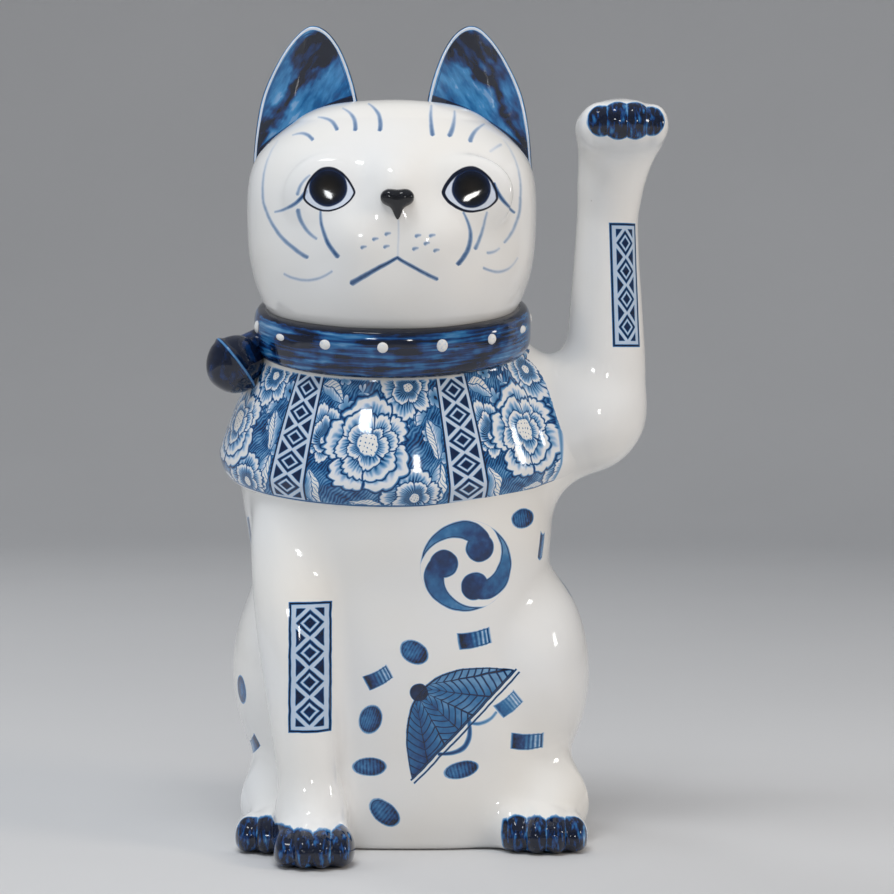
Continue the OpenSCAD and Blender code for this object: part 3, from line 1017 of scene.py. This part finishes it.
def hat(q, cloud, grain):
    """Rain hat seen from the side, ribbed like a leaf, with its strap, cord and tassel."""
    along, up = frame_at(q, HAT_AT, HAT_TURN)
    crown = linear(power(abs(along) / HAT_HALF, 2.1), HAT_TALL, up - HAT_TALL)
    shape = larger(crown * 0.75, 1.0 - up)
    fan_x, fan_y = along + 2.5, (HAT_TALL + 3) - up
    angle = arc_tangent(fan_x, fan_y) * 1.62
    panel = abs(fraction(angle + 0.5) - 0.5)
    r = hypot(fan_x, fan_y)
    veins = line(fraction(r * 0.34 + panel * 3.1), 0.5, 0.16, 0.2)
    ribs = most([under(panel, 0.03, 0.05), beyond(panel, 0.47, 0.04)])
    tone = linear(along, -0.0065, 0.56) + (cloud - 0.5) * 0.4
    tone = linear(panel, -0.36, tone + 0.08)
    tone = larger(tone, most([veins * 0.92, ribs * 0.97, line(shape, -0.4, 0.3, 0.4)]))
    body_ink = under(shape, 0) * tone
    brim = line(abs(up), 0.85, 0.3, 0.35) * under(abs(along), HAT_HALF) * 0.95
    knob = under(vector("DISTANCE", q, (8.3, 62.1, 0)), 3.5, 0.4) * 0.93
    strap = stroke(q, (27.4, 51), (27, 42.5), (16.3, 38.2), (0.9, 0.8), (0.70, 0.85))
    cord = stroke(q, (28, 50), (33, 50), (38, 53.6), (0.55, 0.45), (0.62, 0.45))
    tassel = mark(bar_ink, (43, 56.6), (9.5, 6), 38, q, grain)[0]
    return most([body_ink, brim, knob, strap, cord, tassel * 0.72])


def toe_gap(x, middle, spread):
    """0 between two toes and 1 along the ridge of each."""
    pitch = spread * 2 / 3
    return abs(sine(linear(x, math.pi / pitch, -middle * math.pi / pitch)))


def toe_tone(gap, streak, base):
    """Streaky dark wash with pale slits between the toes."""
    return streak * 1.9 + base - under(gap, 0.10, 0.2) * 0.40


def toe_wash(x, y, z, streak, four_toes, back):
    """Wash over the toes of a paw on the ground; its upper edge is scalloped."""
    (middle, _, _), spread, _ = four_toes
    gap = toe_gap(x, middle, spread)
    edge = linear(gap, -1.3, z - TOE_WASH_TOP) + (streak - 0.5) * 1.4
    edge = calc("SMOOTH_MAX", edge, (y - back) * 0.8, 2)
    edge = calc("SMOOTH_MAX", edge, abs(x - middle) - spread - 6.5, 7)
    return under(edge, 0, 1.0) * toe_tone(gap, streak, 0.04)


def raised_toe_wash(x, y, z, streak):
    """Wash over the toes of the raised paw."""
    (middle, _, _), spread, _ = RAISED_TOES
    gap = toe_gap(x, middle, spread)
    across, up = frame_at(join(x, z), *RAISED_WASH)
    wash = under(hypot(across, up) - gap * 0.14, 0.9, 0.1) * under(abs(x - middle), spread + 3.9, 0.8)
    return wash * under(y, -30, 2) * toe_tone(gap, streak, 0.02)


def leg_panel(q):
    """Panel down the front of the planted foreleg."""
    return cartouche(*frame_at(q, LEG_PANEL_AT), *LEG_PANEL_HALVES, 4)


def arm_panel(x, y, z):
    """The same panel on the outer side of the raised arm, measured round it."""
    round_arm = arc_tangent(x - FOREARM_AXIS[0], FOREARM_AXIS[1] - y) * FOREARM_R
    up = z - ARM_PANEL_Z
    across = linear(up, 0.035, round_arm - ARM_PANEL_ROUND)
    return cartouche(across, up, *ARM_PANEL_HALVES, 4) * beyond(x, 70) * beyond(z, 190)


def scattered(q, grain, coins, bars):
    inks = most(mark(coin_ink, *place, q, grain)[0] for place in coins)
    return larger(inks, most(mark(bar_ink, *place, q, grain)[0] for place in bars))


def painted_body(p):
    """Body: crest, hat, coins, packets and panels, and dark toes."""
    ground = white_ground(p)
    x, y, z = split(p)
    unsteady = shaky(p, 5, 0.3)
    grain, cloud = noise(p, 1.5), noise(p, 4.5, 3)
    streak = noise(scaled(p, 1.2, 0.5, 0.4), 1.9, 2)
    watery = noise(p, 3, 2) * 0.24 + 0.88
    shaky_x, shaky_y, shaky_z = split(unsteady)
    q = join(shaky_x, shaky_z)
    front = most(comma(q, cloud, start) for start in (53, 173, 293))
    front = larger(front, hat(q, cloud, grain))
    front = larger(front, leg_panel(q))
    front = larger(front, scattered(q, grain, FRONT_COINS, FRONT_BARS)) * under(y, FRONT_FROM, 2)
    q = join(shaky_y, shaky_z)
    right = scattered(q, grain, RIGHT_COINS, RIGHT_BARS) * under(x, -SIDE_FROM, 3) * under(z, SIDE_TOP, 2)
    ink = larger(front, right)
    left = scattered(q, grain, LEFT_COINS, LEFT_BARS) * beyond(x, SIDE_FROM, 3) * under(z, SIDE_TOP, 2)
    ink = larger(ink, left)
    back = scattered(join(shaky_x, shaky_z), grain, BACK_COINS, BACK_BARS) * beyond(y, BACK_FROM, 3)
    ink = larger(ink, back)
    for four_toes, behind in ((FRONT_TOES, -68), (RIGHT_TOES, -47), (LEFT_TOES, -47)):
        ink = larger(ink, toe_wash(x, y, z, streak, four_toes, behind))
    ink = larger(ink, raised_toe_wash(x, y, z, streak))
    ink = larger(ink, arm_panel(x, y, z))
    return inked(ground, held(ink * watery))


# ---------------- bib print

PANEL = math.radians(64.5)
PANEL_FROM = math.radians(-37)
PRINT_R = 62.0
STRIP_HALF = 7.6


def peony(q, at, size, turn, layers=((1.0, 5), (0.74, 6), (0.48, 5)), open_r=0.25):
    """Peony of frilled petal layers, hatched dark towards their roots: its tone and its cover."""
    x, y = frame_at(q, at, turn, (size, size))
    angle = arc_tangent(y, x)
    angle = angle + sine(angle * 2 + 1.3) * 0.24
    r = hypot(x, y) * (sine(angle + 2) * 0.09 + 1)
    hatch = sine(angle * 46 + r * 3) * 0.34 + 0.70
    tone = None
    for edge, petals in layers:
        lobes = abs(sine(linear(angle, petals / 2, edge * 3)))
        frill = abs(sine(angle * (petals * 2.5)))
        reach = r / (linear(lobes, 0.2, frill * 0.06 + 0.74) * edge)
        petal = held((0.86 - reach) * 3.2) * hatch * 0.92 + 0.03
        split_line = under(lobes, 0.10, 0.1) * beyond(reach, 0.45, 0.1) * 0.8
        petal = most([petal, split_line, line(reach, 1.0, 0.035, 0.06) * 0.93])
        inside = under(reach, 1.02, 0.05)
        if tone is None:
            tone, cover = petal, inside
        else:
            tone = lay(tone, petal, inside)
    seeds = under(abs(sine(x * 34)) + abs(sine(y * 34)), 0.55, 0.4) * 0.7
    tone = lay(tone, larger(seeds, line(r, open_r, 0.015, 0.04) * 0.9), under(r, open_r, 0.04))
    return tone, cover


def leaf_ink(q, at, ahead, aside):
    """Pointed leaf with a midrib and fine veins: its tone and its cover."""
    along, across = coordinates(q, at, ahead, aside)
    side = abs(across)
    reach = linear(along, along, side)
    veins = line(fraction((along - side * 0.5) * 4.5), 0.5, 0.1, 0.16) * 0.42
    midrib = under(side, 0.06, 0.08) * 0.75
    tone = most([veins, midrib, line(reach, 0.96, 0.06, 0.12) * 0.85, held(across * 0.5)])
    return tone, under(reach, 1.04, 0.08)


def small_flowers(q, size, petals, reach):
    """Little flowers, one in each random cell and each turned its own way: tone and cover."""
    near, pick, middle = cells(q, size)
    x, y, _ = split(vector("SUBTRACT", q, middle))
    angle = arc_tangent(y, x) + split(pick)[0] * 6.28
    edge = abs(sine(angle * (petals / 2))) * reach * 0.55 + reach * 0.45
    heart = under(near, reach * 0.16) * 0.95
    tone = most([held(1 - near / reach) * 0.6, line(near - edge, 0, 0.2, 0.3) * 0.85, heart])
    return tone, under(near - edge, 0.1, 0.3)


# Leaves: middle, size and turn. Flowers: middle, size, turn, petal layers and radius of the heart.
PANEL_LEAVES = [((19, 10), (17, 7), -62), ((23, 22), (18, 7.5), -100), ((-21, 6), (15, 6.5), 25),
                ((-24, 41), (17, 7), 75), ((23, 40), (18, 8), 105), ((-3, 47), (16, 6.5), 10)]
PANEL_FLOWERS = [((13, 4), 13, 70, ((1.0, 5), (0.6, 5)), 0.18),
                 ((14, 44), 12, 20, ((1.0, 5), (0.62, 5)), 0.2),
                 ((-22, 22), 11, 130, ((1.0, 5), (0.6, 5)), 0.2),
                 ((-3, 24), 19, 10)]


def neck_wires(p):
    """The collar's leaning frame: across, along and up."""
    v = vector("SUBTRACT", p, tuple(NECK_AT))
    axes = ((1, 0, 0), (0, NECK_COS, NECK_SIN), (0, -NECK_SIN, NECK_COS))
    return [vector("DOT_PRODUCT", v, axis) for axis in axes]


def bib_print(u, drop):
    """Printed tone of one panel: blossoms and leaves on blue, between two upright bands of lozenges."""
    q = shaky(shaky(shaky(join(u, drop), 17, 2.6), 7, 1.9), 2.2, 0.4)
    hatch = sine(split(q)[0] * 4.6 + split(q)[1] * 3.1) * 0.17
    tone = (noise(q, 5, 3) - 0.5) * 1.1 + hatch + 0.62
    layers = [small_flowers(q, 9, 5, 3.8)]
    layers += [mark(leaf_ink, *place, q) for place in PANEL_LEAVES]
    layers += [peony(q, *place) for place in PANEL_FLOWERS]
    for flower, cover in layers:
        tone = lay(tone, flower, cover)
    aside = PANEL * PRINT_R / 2 - abs(u)
    band = larger(lozenges(aside, drop - 23.5, STRIP_HALF - 0.8, 22.5, 5), 0.11)
    tone = lay(tone, band, under(aside, STRIP_HALF, 0.3))
    return larger(tone, line(aside, STRIP_HALF, 0.42, 0.4) * 0.95)


def painted_bib(p):
    """Bib: the print all round, bare glaze over the raised arm and along the hem."""
    ground = white_ground(p)
    across, along, up = neck_wires(p)
    angle = arc_tangent(across, along * -1)
    drop = -COLLAR_H / 2 - up
    u = (fraction((angle - PANEL_FROM) / PANEL) - 0.5) * (PANEL * PRINT_R)
    ink = bib_print(u, drop)
    border = power(0.92, drop) * 0.30 + 1.2
    bare = beyond(angle, 0, 0.01) * beyond(angle - border, 0, 0.02) * under(angle, 2.15, 0.03)
    rim_at = BIB_LENGTH - 2.4
    top = drop + beyond(angle, 0.7, 0.4) * 4
    ink = ink * under(drop, rim_at - 0.3, 0.4) * beyond(top, 1.2, 0.8) * (1 - bare)
    ink = larger(ink, line(drop, rim_at, 0.3, 0.4) * 0.8 * (1 - bare))
    ink = larger(ink, line(angle - border, 0, 0.006, 0.01) * under(drop, rim_at) * 0.4)
    return inked(ground, ink)


# ---------------- collar, ears, bell, nose, slab


def painted_collar(p):
    """Collar: cobalt brushed round in streaks, with dark pools and near-black edges."""
    across, along, up = neck_wires(p)
    tilted = join(across, along, up)
    streaks = noise(scaled(tilted, 0.06, 0.06, 1.0), 1.3, 4)
    pools = noise(scaled(tilted, 1, 1, 1.6), 15, 3)
    tone = linear(streaks, 1.5, -0.06) + beyond(pools, 0.54, 0.2) * 0.3
    tone = tone - under(pools, 0.44, 0.2) * 0.1
    ragged = abs(up) + (noise(tilted, 4, 2) - 0.5) * 1.6
    tone = larger(tone, beyond(ragged, 7.6, 1.2) * 0.98)
    return inked(white_ground(p), held(tone))


EAR_FOOT = (35.7, 281.5)


def painted_ear(p):
    """Ear: a wet cobalt wash in its cup with dark pools; white rim between dark lines; white behind."""
    nodes = p.socket.id_data.nodes
    rim, cup = nodes.new("ShaderNodeAttribute"), nodes.new("ShaderNodeAttribute")
    rim.attribute_name, cup.attribute_name = "rim", "cup"
    rim, cup = Wire(rim.outputs["Fac"]), Wire(cup.outputs["Fac"])
    x, _, z = split(p)
    out = abs(x - float(NECK_AT[0]))
    across, along = out * 0.83 + z * 0.55, out * 0.55 - z * 0.83
    brushed = noise(join(across, along * 0.3, x * 0.05), 3.2, 5)
    pools = noise(join(across, along * 0.6, x * 0.05), 9, 3)
    wash = linear(brushed, 1.3, -0.26) - under(pools, 0.45, 0.12) * 0.10
    inner_edge = linear(held((z - 298) / 20), 5, 2.5)
    wash = wash + under(abs(across - 197 + (pools - 0.5) * 26) - inner_edge, 0, 4) * 0.56
    wash = larger(wash, 0.18) + beyond(rim, 0.80, 0.16) * 0.12
    wash = larger(wash, line(rim, 0.945, 0.008, 0.02) * 0.9)
    # A dark line along the curve where the ear meets the head.
    out = out - EAR_FOOT[0]
    over_head = z - EAR_FOOT[1] + out * 0.58 + out * out * 0.0097
    wash = larger(wash, under(over_head, 6.4, 1.2) * 0.9)
    wash = lay(wash, 0.07, line(rim, 1.0, 0.02, 0.012))
    edge = beyond(rim, 1.026, 0.008) * 0.95
    front = larger(held(wash), edge)
    behind = larger(beyond(rim + (brushed - 0.5) * 0.12, 0.93, 0.10) * 0.7, edge)
    return inked(white_ground(p), lay(behind, front, cup), EAR_BLUES)


def painted_bell(p):
    """Bell: blue-black with brushed glints of cobalt, and a pale blue rib round its middle."""
    centred = vector("SUBTRACT", p, BELL_AT)
    along = vector("DOT_PRODUCT", centred, tuple(BELL_AXIS)) + RIB_SHIFT
    tone = noise(scaled(p, 1, 1, 0.5), 4, 3) * 0.7 + 0.64
    tone = lay(tone, 0.45, line(along, 0, 0.45, 0.4))
    tone = larger(tone, line(abs(along), 1.6, 0.35, 0.3))
    return inked(white_ground(p), held(tone))


def painted_stem(p):
    return inked(white_ground(p), held(noise(p, 4, 3) * 0.5 + 0.62))


def painted_nose(p):
    return tint(noise(p, 2.5, 3), BLACK, (0.008, 0.009, 0.014))


def painted_dots(p):
    """White slip dots, faintly blue in random patches."""
    return inked(white_ground(p), held(noise(p, 1.2, 2) - 0.5) * 0.5)


def bare_clay(p):
    """Unglazed underside: pale clay with fine grit and a few iron specks."""
    grain = noise(p, 0.8, 4)
    near, pick, _ = cells(p, 5)
    ground = ramp(grain * 0.6 + noise(p, 25, 2) * 0.4, (0.25, (0.42, 0.36, 0.28)), (0.75, (0.62, 0.56, 0.47)))
    speck = under(near, 0.35, 0.3) * beyond(split(pick)[0], 0.7, 0.05)
    return tint(speck * 0.7, ground, (0.12, 0.08, 0.05))


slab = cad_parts["base_slab"]
for piece, material in (
        (head, glazed("face_glaze", painted_face)),
        (body, glazed("body_glaze", painted_body)),
        (bib, glazed("print_glaze", painted_bib)),
        (collar, glazed("collar_glaze", painted_collar, ripple_size=9)),
        (studs, glazed("dot_glaze", painted_dots, ripple=0.02)),
        (bell, glazed("bell_glaze", painted_bell)),
        (stem, glazed("stem_glaze", painted_stem)),
        (nose, glazed("nose_glaze", painted_nose, ripple=0.05)),
        (slab, glazed("slab_clay", bare_clay, shine=0.7, ripple=0.1, ripple_size=3, coat=0))):
    piece.data.materials.clear()
    piece.data.materials.append(material)
ear_glaze = glazed("ear_glaze", painted_ear, ripple=0.3, ripple_size=12)
for ear in (right_ear, left_ear):
    ear.data.materials.append(ear_glaze)

# ---------------- stage, light and camera


def seamless_stage():
    """Pale floor that curves up into a low wall all round."""
    floor_r, bend_r, wall_top, turns = 1700, 900, 2600, 96
    profile = [(20, 0), (300, 0), (800, 0), (floor_r, 0)]
    for a in np.linspace(0.1, math.pi / 2, 14):
        profile.append((floor_r + bend_r * math.sin(a), bend_r * (1 - math.cos(a))))
    profile.append((floor_r + bend_r, wall_top))
    angles = [2 * math.pi * j / turns for j in range(turns)]
    points = [(0, 0, 0)]
    for r, z in profile:
        points += [(r * math.cos(a), r * math.sin(a), z) for a in angles]
    faces = [[0, 1 + j, 1 + (j + 1) % turns] for j in range(turns)]
    faces += [q[::-1] for q in closed_grid(len(profile), turns, False, 1)]
    return mesh_object("seamless_floor", points, faces)


def matte(name, first, second, size):
    """Matte paper with faint clouds."""
    material, inputs, p = new_material(name)
    fill(inputs["Base Color"], tint(noise(p, size, 3), first, second))
    fill(inputs["Roughness"], 0.6)
    fill(inputs["Specular IOR Level"], 0.25)
    return material


floor = seamless_stage()
floor.data.materials.append(matte("pale_paper", (0.60, 0.605, 0.615), (0.64, 0.645, 0.655), 300))

# Camera, lamps and their sizes are in metres.
CAMERA_AT = (0.019, -1.05, 0.189)
LENS = 105.2
TILT_DOWN = 1.87
camera = linked("camera", bpy.data.cameras.new("camera"))
camera.location = CAMERA_AT
camera.data.lens = LENS
camera.rotation_euler = (math.radians(90 - TILT_DOWN), 0, 0)
scene = bpy.context.scene
scene.camera = camera
scene.view_settings.view_transform = "Standard"

world = bpy.data.worlds.new("studio")
world.use_nodes = True
background = world.node_tree.nodes["Background"].inputs
background["Color"].default_value = (0.80, 0.84, 0.90, 1)
background["Strength"].default_value = 0.38
scene.world = world

LAMPS_AIM = (0, 0, 0.17)


def soft_light(name, at, size, watts, colour=(1, 1, 1), mirrored=True):
    """Softbox that looks at the middle of the figure, and shows in the glaze if mirrored."""
    data = bpy.data.lights.new(name, "AREA")
    data.shape = "RECTANGLE"
    data.size, data.size_y = size
    data.energy = watts
    data.color = colour
    lamp = linked(name, data)
    lamp.location = at
    lamp.visible_glossy = mirrored
    aim_x, aim_y, aim_z = np.array(LAMPS_AIM) - np.array(at)
    lamp.rotation_euler = (math.atan2(math.hypot(aim_x, aim_y), -aim_z), 0, math.atan2(-aim_x, aim_y))


soft_light("key", (-0.13, -0.55, 1.55), (0.9, 0.7), 11.0, (0.97, 0.985, 1), False)
soft_light("warm_fill", (1.3, -0.75, 0.75), (0.45, 0.5), 7, (1, 0.85, 0.69), False)
soft_light("left_fill", (-1.25, -0.3, 0.5), (0.5, 0.8), 3.2, (0.95, 0.98, 1), False)
soft_light("skylight", (-0.30, -0.43, 1.47), (0.30, 0.16), 1.5, (0.97, 0.985, 1))
soft_light("window", (-0.38, -1.24, 0.62), (0.17, 0.09), 1.1, (0.96, 0.98, 1))
soft_light("right_window", (0.36, -1.3, 0.43), (0.09, 0.10), 0.75, (1, 0.98, 0.95))
soft_light("side_window", (1.3, 0.0, 0.48), (0.12, 0.16), 0.8, (1, 0.98, 0.95))
soft_light("back_top", (-0.9, 1.1, 1.3), (0.5, 0.4), 5, (1, 1, 1), False)
